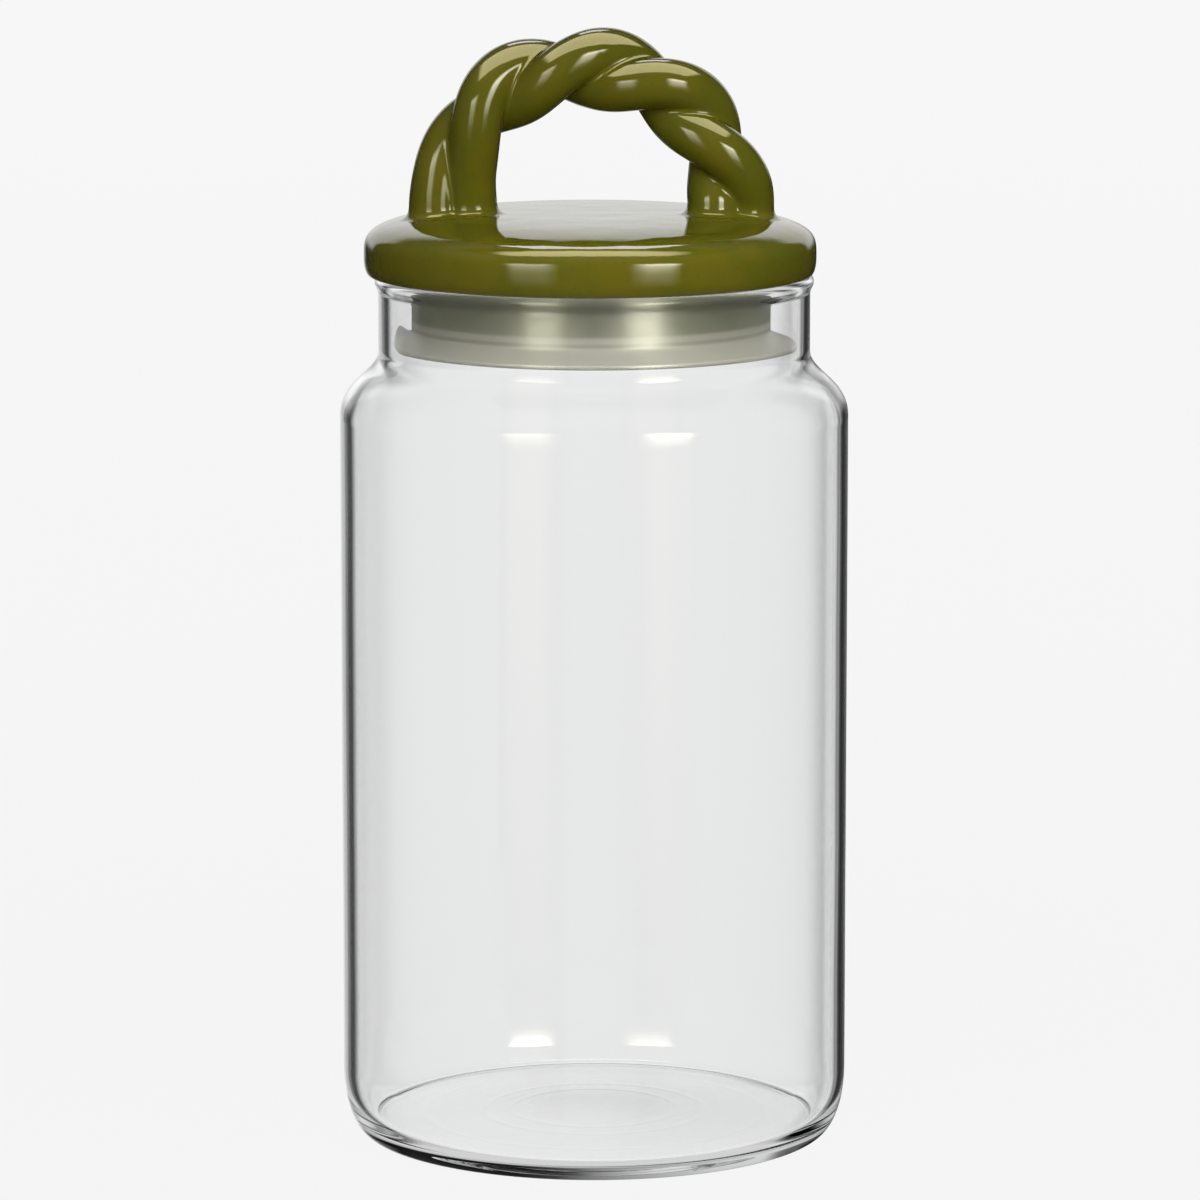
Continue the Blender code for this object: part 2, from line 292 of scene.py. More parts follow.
    def surface(self, shader: bpy.types.Node, kind: str = "ShaderNodeOutputMaterial") -> None:
        """Send a shader to the output."""
        self.put(self.tree.nodes.new(kind).inputs[0], shader.outputs[0])


def new_material(name: str) -> tuple[bpy.types.Material, Graph]:
    """An empty node material and its graph."""
    material = bpy.data.materials.new(name)
    material.use_nodes = True
    return material, Graph(material.node_tree)


@dataclass(frozen=True)
class ClearGlass:
    """Clear blown glass. Lamps shine through it, so what it holds is lit."""

    tint: tuple = (0.992, 0.997, 0.995)
    ior: float = 1.47
    ripple_scale: float = 22.0
    ripple_height: float = 0.00006
    shadow_tint: tuple = (0.90, 0.92, 0.91)
    mirrorings: int = 2

    def make(self) -> bpy.types.Material:
        """Principled glass with a faint ripple, mixed with Transparent for shadow and diffuse rays."""
        material, g = new_material("clear_glass")
        bump = g.node("ShaderNodeBump", Strength=1.0, Distance=self.ripple_height,
                      Height=g.noise(self.ripple_scale, 1.0))
        glass = g.node("ShaderNodeBsdfPrincipled", Base_Color=self.tint, Roughness=0.0, IOR=self.ior,
                       Transmission_Weight=1.0, Normal=bump.outputs[0])
        share = g.math("MAXIMUM", g.path("Is Shadow Ray"), g.path("Is Diffuse Ray"))
        caught = g.math("GREATER_THAN", g.path("Glossy Depth"), self.mirrorings + 0.5)
        share = g.math("MAXIMUM", share, caught)
        g.surface(g.shaders(share, glass, g.node("ShaderNodeBsdfTransparent", Color=self.shadow_tint)))
        return material


@dataclass(frozen=True)
class OliveGlaze:
    """A thick glossy olive glaze on stoneware, browner where it runs thin and greener where it pools."""

    thin: tuple = (0.130, 0.115, 0.0075)
    pooled: tuple = (0.106, 0.107, 0.0070)
    fleck: tuple = (0.072, 0.068, 0.006)
    cloud_scale: float = 105.0
    cloud_edge: tuple = (0.36, 0.64)
    fleck_scale: float = 900.0
    fleck_edge: tuple = (0.62, 0.78)
    fleck_share: float = 0.35
    wave_scale: float = 130.0
    wave_height: float = 0.00012
    roughness: float = 0.045
    roughness_spread: tuple = (0.8, 1.25)
    ior: float = 1.68

    def make(self) -> bpy.types.Material:
        """Principled glaze with clouds of two olives, fine flecks and a hand-dipped wave in its surface."""
        material, g = new_material("olive_glaze")
        clouds = g.ramp(g.noise(self.cloud_scale, 3.0, 0.55), *self.cloud_edge)
        flecks = g.ramp(g.noise(self.fleck_scale), *self.fleck_edge, 0.0, self.fleck_share)
        colour = g.mix(flecks, g.mix(clouds, self.thin, self.pooled), self.fleck)
        bump = g.node("ShaderNodeBump", Strength=1.0, Distance=self.wave_height,
                      Height=g.noise(self.wave_scale, 1.5, 0.4))
        smooth, rough = (self.roughness * share for share in self.roughness_spread)
        roughness = g.ramp(g.noise(self.cloud_scale * 2), 0.3, 0.7, smooth, rough)
        g.surface(g.node("ShaderNodeBsdfPrincipled", Base_Color=colour, IOR=self.ior, Roughness=roughness,
                         Normal=bump.outputs[0]))
        return material


@dataclass(frozen=True)
class FrostedSilicone:
    """Translucent frosted silicone: the olive collar shows through its sleeve, and its fin is milky."""

    sleeve: tuple = (0.41, 0.41, 0.25)
    fin: tuple = (0.85, 0.80, 0.69)
    olive: tuple = (0.22, 0.22, 0.08)
    cloud: tuple = (0.75, 0.74, 0.68)
    clear: tuple = (0.9, 0.9, 0.86)
    sleeve_foot: float = 162.6 * MM
    sleeve_blend: float = 0.8 * MM
    collar_foot: float = 161.3 * MM
    lip_height: float = 0.2 * MM
    lip_soft: float = 0.5 * MM
    lip_share: float = 0.45
    cloud_share: float = 0.12
    grain_height: float = 0.05 * MM
    grain_ratio: float = 14.0
    clearness: float = 0.22
    roughness: float = 0.42
    ior: float = 2.6
    gloss: float = 1.0
    upright_spread: float = 0.85
    cloud_scale: float = 160.0

    def make(self) -> bpy.types.Material:
        """Principled silicone mixed with a share of Transparent, its colour set by the height."""
        material, g = new_material("frosted_silicone")
        z = g.node("ShaderNodeSeparateXYZ", Vector=g.place()).outputs[2]
        milky = g.ramp(z, self.sleeve_foot, self.sleeve_foot + self.sleeve_blend, 1.0, 0.0)
        colour = g.mix(milky, self.sleeve, self.fin)
        lip = g.band(z, self.collar_foot, self.collar_foot + self.lip_height, self.lip_soft)
        colour = g.mix(g.math("MULTIPLY", lip, self.lip_share), colour, self.olive)
        clouds = g.ramp(g.noise(self.cloud_scale), 0.35, 0.65, 0.0, self.cloud_share)
        colour = g.mix(clouds, colour, self.cloud)
        bump = g.node("ShaderNodeBump", Strength=0.4, Distance=self.grain_height,
                      Height=g.noise(self.cloud_scale * self.grain_ratio))
        body = g.node("ShaderNodeBsdfPrincipled", Base_Color=colour, Roughness=self.roughness, IOR=self.ior,
                      Specular_IOR_Level=self.gloss, Anisotropic=self.upright_spread, Anisotropic_Rotation=0.25,
                      Normal=bump.outputs[0])
        g.surface(g.shaders(self.clearness, body, g.node("ShaderNodeBsdfTransparent", Color=self.clear)))
        return material


# The jar.


@dataclass
class BlownJar:
    """The glass body: straight wall, drawn-in neck, rounded foot and pushed-up base."""

    body_radius: float = 50.0 * MM
    wall: float = 2.6 * MM
    base_thickness: float = 2.8 * MM
    foot_radius: float = 45.1 * MM
    foot_ring_width: float = 7.5 * MM
    corner_height: float = 13.2 * MM
    corner_floor_pull: float = 2.0 * MM
    corner_wall_pull: float = 9.0 * MM
    punt_rise: float = 1.2 * MM
    ridge_radii: tuple = (16.5 * MM, 22.0 * MM, 34.0 * MM)
    ridge_height: float = 0.012 * MM
    ridge_width: float = 0.55 * MM
    soft_corner_start: float = 41.5 * MM
    soft_corner_pull: float = 3.0 * MM
    shoulder_start: float = 143.5 * MM
    shoulder_height: float = 13.1 * MM
    shoulder_lower_pull: float = 7.0 * MM
    shoulder_upper_pull: float = 5.0 * MM
    neck_radius: float = 42.4 * MM
    neck_wall: float = 2.3 * MM
    rim_top: float = 171.4 * MM
    bead_height: float = 3.6 * MM
    bead_proud: float = 0.7 * MM
    rim_round: float = 1.4 * MM
    columns: int = 288
    floor_steps: int = 90
    inside_steps: int = 44
    rim_steps: int = 28
    bead_steps: int = 10
    shoulder_steps: int = 48
    corner_steps: int = 40
    underside_steps: int = 24

    def floor(self, height: float, edge: float, steps: int, ridges: bool) -> np.ndarray:
        """Half section of the pushed-up floor: its height falls with an eased share of the radius.

        Args:
            height: its level at the edge.
            edge: the radius where it ends.
            steps: the number of stretches.
            ridges: True adds the faint rings that the mould has left, each a narrow bell of the radius.

        Returns:
            Points (radius, height) from the middle outwards.
        """
        share = np.linspace(0, 1, steps + 1)
        radius, level = edge * share, height + self.punt_rise * (1 - eased(share))
        if ridges:
            rings = np.array(self.ridge_radii)[:, None]
            level = level + self.ridge_height * np.exp(-((radius - rings) / self.ridge_width)**2).sum(0)
        return np.column_stack([radius, level])

    def profile(self) -> np.ndarray:
        """Half section from the floor's middle, up the inside, over the rim and down to the base's middle."""
        bore = self.neck_radius - self.neck_wall
        neck_start = self.shoulder_start + self.shoulder_height
        slope = math.atan2(self.shoulder_height, self.body_radius - self.neck_radius)
        drop = self.wall / 2 * math.cos(slope)
        inside = self.body_radius - self.wall
        inner_corner = cubic_curve((self.soft_corner_start, self.base_thickness),
                                   (self.soft_corner_pull, 0), (0, self.corner_wall_pull),
                                   (inside, self.corner_height), self.inside_steps)
        inner_shoulder = cubic_curve((inside, self.shoulder_start - drop), (0, self.shoulder_lower_pull),
                                     (0, self.shoulder_upper_pull), (bore, neck_start - drop),
                                     self.inside_steps)
        bead = self.neck_radius + self.bead_proud
        middle = (bead + bore) / 2
        rim = ellipse_arc((middle, self.rim_top - self.rim_round), bead - middle, self.rim_round, 180, 0,
                          self.rim_steps)
        under_bead = cubic_curve((bead, self.rim_top - self.rim_round), (0, -self.bead_proud),
                                 (0, -self.bead_proud), (self.neck_radius, self.rim_top - self.bead_height),
                                 self.bead_steps)
        shoulder = cubic_curve((self.neck_radius, neck_start), (0, -self.shoulder_upper_pull),
                               (0, -self.shoulder_lower_pull), (self.body_radius, self.shoulder_start),
                               self.shoulder_steps)
        corner = cubic_curve((self.body_radius, self.corner_height), (0, -self.corner_wall_pull),
                             (-self.corner_floor_pull, 0), (self.foot_radius, 0), self.corner_steps)
        floor = self.floor(self.base_thickness, self.soft_corner_start, self.floor_steps, True)
        underside = self.floor(0, self.foot_radius - self.foot_ring_width, self.underside_steps, False)
        return joined(floor, inner_corner, inner_shoulder, rim, under_bead, shoulder, corner, underside[::-1])

    def build(self) -> None:
        """Turn the section and settle the piece."""
        verts, faces = turned(self.profile(), self.columns)
        piece = mesh_object("blown_glass_jar", verts, faces, ClearGlass().make())
        settle(piece, Body.JAR, Slot.GLASS, "glass_jar")


# The lid and its handle.


@dataclass
class CeramicLid:
    """The domed lid with its collar and the rope handle, as one glazed body with soft creases."""

    radius: float = 44.4 * MM
    place_x: float = -0.8 * MM
    underside: float = 171.45 * MM
    edge_height: float = 3.35 * MM
    edge_undercut: float = 1.0 * MM
    dome_height: float = 8.5 * MM
    dome_power: float = 3.9
    top_thickness: float = 6.2 * MM
    collar_radius: float = 33.0 * MM
    collar_wall: float = 3.6 * MM
    collar_depth: float = 11.2 * MM
    lip_round: float = 0.9 * MM
    groove_depth: float = 1.0 * MM
    groove_height: float = 3.2 * MM
    span: float = 54.4 * MM
    rope_aside: float = 0.35 * MM
    rise: float = 28.31 * MM
    leg: float = 1.7 * MM
    seat: float = 0.3 * MM
    left_power: float = 2.32
    right_power: float = 1.93
    turns: float = 2.05
    left_ease: float = 22.0 * MM
    right_ease: float = 5.0 * MM
    strand_radius: float = 5.0 * MM
    strand_offset: float = 3.2 * MM
    foot_flare: float = 0.25 * MM
    foot_length: float = 9.0 * MM
    root: float = 4.0 * MM
    crease: float = 1.0 * MM
    foot_fillet: float = 2.2 * MM
    voxel: float = 0.57 * MM
    neck_below: float = 0.4 * MM
    samples: int = 700
    fine_samples: int = 3000
    root_samples: int = 30
    rough_steps: tuple = (40, 10)
    rough_columns: int = 160
    fine_steps: tuple = (900, 60)
    presses: int = 3
    least_slope: float = 0.2

    def dome_at(self, radius: np.ndarray) -> np.ndarray:
        """Height of the domed top: a power curve over the lid's widest level."""
        share = np.clip(radius / self.radius, 0, 1)
        return (self.underside + self.edge_height
                + self.dome_height * (1 - share**self.dome_power)**(1 / self.dome_power))

    def profile(self, dome_steps: int, arc_steps: int) -> np.ndarray:
        """Half section of the disc and collar, down the outside and back to the axis inside the hollow."""
        equator = self.underside + self.edge_height
        turn = np.radians(np.linspace(0, 90, dome_steps + 1))
        power = 2 / self.dome_power
        dome = np.column_stack([self.radius * np.sin(turn)**power,
                                equator + self.dome_height * np.cos(turn)**power])
        edge = ellipse_arc((self.radius - self.edge_undercut, equator), self.edge_undercut,
                           self.edge_height, 0, -90, arc_steps)
        foot = self.underside - self.collar_depth
        groove = ellipse_arc((self.collar_radius, self.underside - self.collar_depth / 2), self.groove_depth,
                             self.groove_height / 2, 90, 270, arc_steps)
        bore = self.collar_radius - self.collar_wall
        outer_lip = ellipse_arc((self.collar_radius - self.lip_round, foot + self.lip_round),
                                self.lip_round, self.lip_round, 0, -90, arc_steps // 2)
        inner_lip = ellipse_arc((bore + self.lip_round, foot + self.lip_round),
                                self.lip_round, self.lip_round, -90, -180, arc_steps // 2)
        ceiling = equator + self.dome_height - self.top_thickness
        return joined(dome, edge, (self.collar_radius, self.underside), groove, outer_lip, inner_lip,
                      (bore, ceiling), (0, ceiling))

    def route(self) -> tuple[np.ndarray, np.ndarray, np.ndarray]:
        """The arch of the rope's middle: each half is a quarter of a power curve over a short straight leg.

        Returns:
            Run lengths, points (x, z) and outward directions (x, z), evenly spaced.
        """
        half = self.span / 2
        foot = self.dome_at(half) + self.seat
        turn = np.linspace(0, math.pi / 2, self.fine_samples)
        sides = []
        for side, power in ((-1, self.left_power), (1, self.right_power)):
            x = np.concatenate([[half], half * np.cos(turn)**(2 / power)])
            arch = (self.rise - self.leg) * np.sin(turn)**(2 / power)
            z = np.concatenate([[foot], foot + self.leg + arch])
            sides.append(np.column_stack([side * x + self.rope_aside, z]))
        path = np.vstack([sides[0], sides[1][-2::-1]])
        run = np.concatenate([[0], np.cumsum(np.linalg.norm(np.diff(path, axis=0), axis=1))])
        even = np.linspace(0, run[-1], self.samples)
        path = np.column_stack([np.interp(even, run, path[:, i]) for i in range(2)])
        along = np.gradient(path, even, axis=0)
        along /= np.linalg.norm(along, axis=1)[:, None]
        return even, path, np.column_stack([-along[:, 1], along[:, 0]])

    def strand(self, start_angle: float) -> tuple[np.ndarray, np.ndarray]:
        """One strand's middle line and radii: it turns round the rope's middle, more slowly near the feet.

        Args:
            start_angle: where round the rope the strand starts at the left foot.

        Returns:
            Points along the strand, run on into the lid at both ends, and the radius at each.
        """
        run, path, out = self.route()
        length, start, end = run[-1], self.left_ease, self.right_ease
        falling = np.maximum(run - (length - end), 0)
        rising = np.minimum(run, start)**2 / (2 * start)
        steady = np.clip(run - start, 0, length - start - end)
        turned_share = (rising + steady + falling - falling**2 / (2 * end)) / (length - (start + end) / 2)
        angle = math.tau * self.turns * turned_share + start_angle
        foot_share = eased(np.clip(1 - np.minimum(run, length - run) / self.foot_length, 0, 1))
        reach = self.strand_offset + self.foot_flare * foot_share
        points = np.column_stack([path[:, 0] + out[:, 0] * reach * np.cos(angle), reach * np.sin(angle),
                                  path[:, 1] + out[:, 1] * reach * np.cos(angle)])
        radii = self.strand_radius + self.foot_flare * foot_share
        down = np.linspace(self.root, 0, self.root_samples, endpoint=False)[:, None] * np.array([[0, 0, -1]])
        points = np.vstack([points[0] + down, points, points[-1] + down[::-1]])
        return points, np.pad(radii, self.root_samples, mode="edge")

    @staticmethod
    def tube(points: np.ndarray, radii: np.ndarray, sides: int = 28) -> tuple[np.ndarray, np.ndarray]:
        """A closed tube of circles square to a line of points, each end closed on its middle point."""
        along = np.gradient(points, axis=0)
        along /= np.linalg.norm(along, axis=1)[:, None]
        across = np.cross(along, np.array([0.0, 1.0, 0.0]))
        across /= np.linalg.norm(across, axis=1)[:, None]
        up = np.cross(along, across)
        angle = np.linspace(0, math.tau, sides, endpoint=False)
        rings = (points[:, None] + radii[:, None, None]
                 * (across[:, None] * np.cos(angle)[:, None] + up[:, None] * np.sin(angle)[:, None]))
        ends = [np.repeat(end[None, None], sides, 1) for end in (points[0], points[-1])]
        rings = np.concatenate([ends[0], rings, ends[1]])
        low = np.arange(len(rings) - 1)[:, None] * sides
        column = np.arange(sides)[None, :]
        beside = (column + 1) % sides
        faces = np.stack([low + column, low + beside, low + sides + beside, low + sides + column], -1)
        return rings.reshape(-1, 3), faces.reshape(-1, 4)

    @staticmethod
    def nearest(points: np.ndarray, line: np.ndarray, block: int = 20000) -> np.ndarray:
        """Index of the line's nearest point for each point, in blocks that fit in memory."""
        found = np.empty(len(points), int)
        squares = (line**2).sum(1)
        for low in range(0, len(points), block):
            some = points[low:low + block]
            found[low:low + block] = np.argmin(squares - 2 * some @ line.T, axis=1)
        return found

    def strand_field(self, points: np.ndarray, line: np.ndarray,
                     radii: np.ndarray) -> tuple[np.ndarray, np.ndarray]:
        """Distance from a strand's surface and its direction: how far its middle line is, less the radius."""
        along = np.gradient(line, axis=0)
        along /= np.linalg.norm(along, axis=1)[:, None]
        i = self.nearest(points, line)
        away = points - line[i]
        away -= along[i] * (away * along[i]).sum(1)[:, None]
        distance = np.linalg.norm(away, axis=1)
        return distance - radii[i], away / np.maximum(distance, TINY)[:, None]

    def disc_field(self, points: np.ndarray, section: np.ndarray) -> tuple[np.ndarray, np.ndarray]:
        """Distance from the disc's surface and its direction, from the nearest point of its fine section."""
        along = np.gradient(section, axis=0)
        along /= np.linalg.norm(along, axis=1)[:, None]
        normal = np.column_stack([-along[:, 1], along[:, 0]])
        radius = np.hypot(points[:, 0], points[:, 1])
        flat = np.column_stack([radius, points[:, 2]])
        i = self.nearest(flat, section)
        distance = ((flat - section[i]) * normal[i]).sum(1)
        spoke = points[:, :2] / np.maximum(radius, TINY)[:, None]
        return distance, np.column_stack([spoke * normal[i, :1], normal[i, 1]])

    @staticmethod
    def soft_union(first: tuple, second: tuple, width: float) -> tuple[np.ndarray, np.ndarray]:
        """Union of two fields with a fillet: within the width, one gives way to the other by a parabola."""
        share = np.clip(0.5 + 0.5 * (second[0] - first[0]) / width, 0, 1)
        distance = second[0] + (first[0] - second[0]) * share - width * share * (1 - share)
        direction = second[1] + (first[1] - second[1]) * share[:, None]
        return distance, direction

    def field(self, points: np.ndarray, strands: list, section: np.ndarray) -> tuple[np.ndarray, np.ndarray]:
        """The whole lid's field: both strands with a soft crease, set on the disc with a glaze fillet."""
        rope = self.soft_union(*(self.strand_field(points, *s) for s in strands), self.crease)
        return self.soft_union(rope, self.disc_field(points, section), self.foot_fillet)

    def build(self) -> None:
        """Remesh the rough union, press each point onto the field's zero surface and settle the piece.

        The disc and the rope then move aside, and the collar stays in the middle, where it turns in the seal.
        """
        strands = [self.strand(0.0), self.strand(math.pi)]
        rough = [turned(self.profile(*self.rough_steps), self.rough_columns)] + [self.tube(*s) for s in strands]
        offsets = np.cumsum([0] + [len(v) for v, _ in rough[:-1]])
        verts = np.vstack([v for v, _ in rough])
        faces = np.vstack([f + o for (_, f), o in zip(rough, offsets)])
        material = OliveGlaze().make()
        piece = mesh_object("glazed_lid_and_rope", verts, faces, material)
        grid = piece.modifiers.new("even_grid", "REMESH")
        grid.mode = "VOXEL"
        grid.voxel_size = self.voxel
        mesh = bpy.data.meshes.new_from_object(piece.evaluated_get(bpy.context.evaluated_depsgraph_get()))
        piece.modifiers.clear()
        piece.data = mesh
        mesh.materials.clear()
        mesh.materials.append(material)
        points = np.empty(len(mesh.vertices) * 3, np.float32)
        mesh.vertices.foreach_get("co", points)
        points = points.reshape(-1, 3).astype(float)
        section = self.dense(self.profile(*self.fine_steps))
        for _ in range(self.presses):
            distance, direction = self.field(points, strands, section)
            size = np.maximum((direction**2).sum(1), self.least_slope)
            step = np.clip(distance / size, -self.voxel, self.voxel)
            points -= direction * step[:, None]
        direction = self.field(points, strands, section)[1]
        direction /= np.linalg.norm(direction, axis=1)[:, None]
        above_collar = (points[:, 2] - self.underside) / self.neck_below + 1
        points[:, 0] += self.place_x * eased(np.clip(above_collar, 0, 1))
        mesh.vertices.foreach_set("co", points.astype(np.float32).ravel())
        mesh.shade_smooth()
        mesh.normals_split_custom_set_from_vertices(direction.tolist())
        mesh.update()
        settle(piece, Body.LID, Slot.GLAZE, "lid_disc", "handle_strand_a", "handle_strand_b")

    @staticmethod
    def dense(section: np.ndarray, pitch: float = 0.1 * MM) -> np.ndarray:
        """The same profile with points at an even small pitch."""
        run = np.concatenate([[0], np.cumsum(np.linalg.norm(np.diff(section, axis=0), axis=1))])
        even = np.linspace(0, run[-1], int(run[-1] / pitch))
        return np.column_stack([np.interp(even, run, section[:, i]) for i in range(2)])


# The seal.


@dataclass
class SealRing:
    """The silicone sleeve round the collar and its skirt-like fin, which reaches for the glass."""

    sleeve_radius: float = 35.2 * MM
    bore: float = 33.3 * MM
    top: float = 171.1 * MM
    foot: float = 157.3 * MM
    tip_radius: float = 39.95 * MM
    root_top: float = 161.0 * MM
    tip_top: float = 158.4 * MM
    place_x: float = -0.6 * MM
    curl_lift: float = 3.2 * MM
    curl_draw: float = 1.3 * MM
    curl_half_turn: float = 26.0
    columns: int = 256

    def profile(self) -> np.ndarray:
        """Closed section: down the sleeve, out along the skirt, round its tip and back under."""
        skirt = cubic_curve((self.sleeve_radius, self.root_top), (0, -1.0 * MM), (1.6 * MM, -0.6 * MM),
                            (self.tip_radius - 0.5 * MM, self.tip_top), 16)
        half = (self.tip_top - self.foot) / 2
        tip = ellipse_arc((self.tip_radius - 0.5 * MM, self.foot + half), 0.5 * MM, half, 80, -90, 10)
        under = cubic_curve((self.sleeve_radius, self.foot), (-0.4 * MM, 0), (-0.4 * MM, 0),
                            (self.bore + 0.3 * MM, self.foot), 3)
        lip = ellipse_arc((self.bore + 0.3 * MM, self.foot + 0.3 * MM), 0.3 * MM, 0.3 * MM, -90, -180, 4)
        crown = ellipse_arc((self.sleeve_radius - 0.4 * MM, self.top - 0.4 * MM), 0.4 * MM, 0.4 * MM, 90, 0, 5)
        return joined(crown, skirt, tip, under, lip, (self.bore, self.top))

    def curled(self, verts: np.ndarray) -> np.ndarray:
        """Lift and draw in the fin's edge at the jar's left, where the neck has folded it up.

        Both grow with the square of the reach past the sleeve, and fade with an eased share of the turn. The
        sleeve's outside sits aside with the lid's disc. Its bore stays in the middle, so that the lid turns in
        it, and the neck keeps the fin's edge there.
        """
        radius = np.hypot(verts[:, 0], verts[:, 1])
        reach = np.clip((radius - self.sleeve_radius) / (self.tip_radius - self.sleeve_radius), 0, 1)
        turn = np.degrees(np.abs(np.arctan2(verts[:, 1], -verts[:, 0])))
        share = reach**2 * eased(np.clip(1 - turn / self.curl_half_turn, 0, 1))
        shrink = 1 - share * self.curl_draw / np.maximum(radius, self.bore)
        outward = np.clip((radius - self.bore) / (self.sleeve_radius - self.bore), 0, 1)
        aside = self.place_x * (1 - eased(reach)) * outward
        return np.column_stack([verts[:, 0] * shrink + aside, verts[:, 1] * shrink,
                                verts[:, 2] + share * self.curl_lift])

    def build(self) -> None:
        """Turn the section, curl the fin and settle the piece."""
        verts, faces = turned(self.profile(), self.columns, closed=True)
        piece = mesh_object("finned_silicone_seal", self.curled(verts), faces, FrostedSilicone().make())
        settle(piece, Body.SEAL, Slot.SILICONE, "seal_ring")


# Studio.


@dataclass
class Studio:
    """Pale paper, two tall front softboxes, a panel over the rope, a strip behind, the room and the camera.

    Each table is a row of pairs. A box's pairs are lift in degrees and strength. The room's are its turn in
    degrees from straight behind the jar, and how bright it is there.
    """

    paper: float = 0.913
    paper_lit: float = 0.03
    paper_bare: float = 0.011
    paper_size: float = 40.0
    paper_level: float = -0.0002
    paper_bounce: float = 0.25
    light_near: float = 1.2
    light_far: float = 0.6
    light_reach: float = 3.0
    room_light: float = 0.03
    camera_place: tuple = (1.15 * MM, -1.300, 0.319)
    camera_pitch: float = 0.16207
    lens: float = 199.82
    box_distance: float = 1.0
    lid_level: float = 0.175
    box_half_width: float = 0.36
    box_core: float = 0.35
    left_box: tuple = ((-24, 0.05), (-9.3, 0.5), (-4.9, 1.0), (4, 1.9), (18, 3.2), (27, 5.2), (34, 0.0))
    right_box: tuple = ((-24, 0.1), (-9.3, 0.8), (-4.9, 1.8), (4, 3.6), (18, 6.0), (27, 11.0), (34, 0.0))
    box_tint: tuple = (1.0, 0.97, 0.78)
    top_level: float = 0.285
    top_half_width: float = 0.095
    top_aside: float = 0.012
    top_depth: tuple = (-0.048, 0.020)
    top_soft: float = 0.010
    top_glow: float = 4.6
    top_reach: float = 0.12
    top_fade: float = 0.008
    top_tint: tuple = (1.0, 0.91, 0.52)
    mirrored_paper: float = 1.28
    lobe_aim: tuple = (0.170, -0.801, 0.574)
    lobe_light: float = 4.4
    matt_share: float = 0.4
    wall_by_turn: tuple = (
        (-75, 0.45), (-55, 0.49), (-47, 1.20), (-41, 1.40), (-36.5, 0.91), (-33, 0.40), (-31, 0.09),
        (-29.5, 0.0), (-24, 0.0), (-22.3, 0.20), (-20.5, 0.17), (-18.5, 0.27), (-16, 0.97), (-10.3, 0.90),
        (-5, 0.60), (0, 0.30), (3, 0.05), (6, 0.0), (20.5, 0.0), (22.3, 0.10), (24, 0.18), (26, 0.60),
        (27.8, 0.46), (29.5, 0.42), (31, 0.84), (33, 1.07), (36.5, 1.34), (41, 1.05), (47, 0.25), (55, 0.02),
        (65, 1.0), (75, 1.0))
    gloss_by_turn: tuple = (
        (-60, 0.02), (-22, 0.03), (-18, 0.20), (-14, 0.60), (-10.3, 0.85), (-7, 0.913), (3, 0.913), (6, 0.02),
        (60, 0.01))
    two_wall_gain: tuple = ((-24, 1.5), (-2, 1.5), (8, 2.2), (34, 2.2))
    strip_turn: float = 14.0
    strip_lift: tuple = (44.0, 57.0)
    strip_glow: float = 3.9
    strip_width: float = 30.0
    paper_front: float = 0.44
    paper_near: float = 0.85
    paper_dim: float = 0.15
    box_through_glass: float = 0.2
    room_through_glass: float = 0.60
    left_side: float = 0.05
    right_side: float = 0.035
    side_soft: float = 0.25
    front_soft: float = 0.3
    box_places: tuple = (-0.577, 0.675)
    most_mirrorings: float = 1.5
    steep_lift: tuple = (-45.0, -32.0)
    gloss_high: tuple = (-4.0, 6.0)
    glass_high: tuple = (30.0, 45.0)
    strip_soft: float = 8.0
    strip_top: tuple = (0.40, 0.56)
    ceiling_rise: tuple = (0.50, 0.95)
    ceiling_light: float = 0.16
    lobe_edge: float = 0.55

    def card(self, name: str, middle: float, half: float, strength_by_lift: tuple) -> None:
        """A softbox of even width, bent over the lid like an arch, soft at its sides.

        Args:
            name: the card's name.
            middle, half: where its middle line lies across the set, and its half width.
            strength_by_lift: pairs of lift in degrees and strength; the first and last are its ends.
        """
        across = np.linspace(middle - half, middle + half, 9)[None, :]
        lift = np.radians(np.linspace(strength_by_lift[0][0], strength_by_lift[-1][0], 25))[:, None]
        grid = np.stack(np.broadcast_arrays(across, -self.box_distance * np.cos(lift),
                                            self.lid_level + self.box_distance * np.sin(lift)), axis=-1)
        material, g = new_material(name + "_glow")
        x, y, z = g.node("ShaderNodeSeparateXYZ", Vector=g.place()).outputs
        aside = g.math("ABSOLUTE", g.math("SUBTRACT", x, middle))
        bell = g.ramp(aside, half * self.box_core, half, 1.0, 0.0)
        above = g.math("SUBTRACT", z, self.lid_level)
        angle = g.math("MULTIPLY", g.math("ARCTAN2", above, g.math("MULTIPLY", y, -1.0)), TO_DEGREES)
        strength = g.math("MULTIPLY", bell, g.table(angle, strength_by_lift))
        self.lamp_mesh(name, grid, material, g, strength, self.box_tint, g.table(angle, self.two_wall_gain))

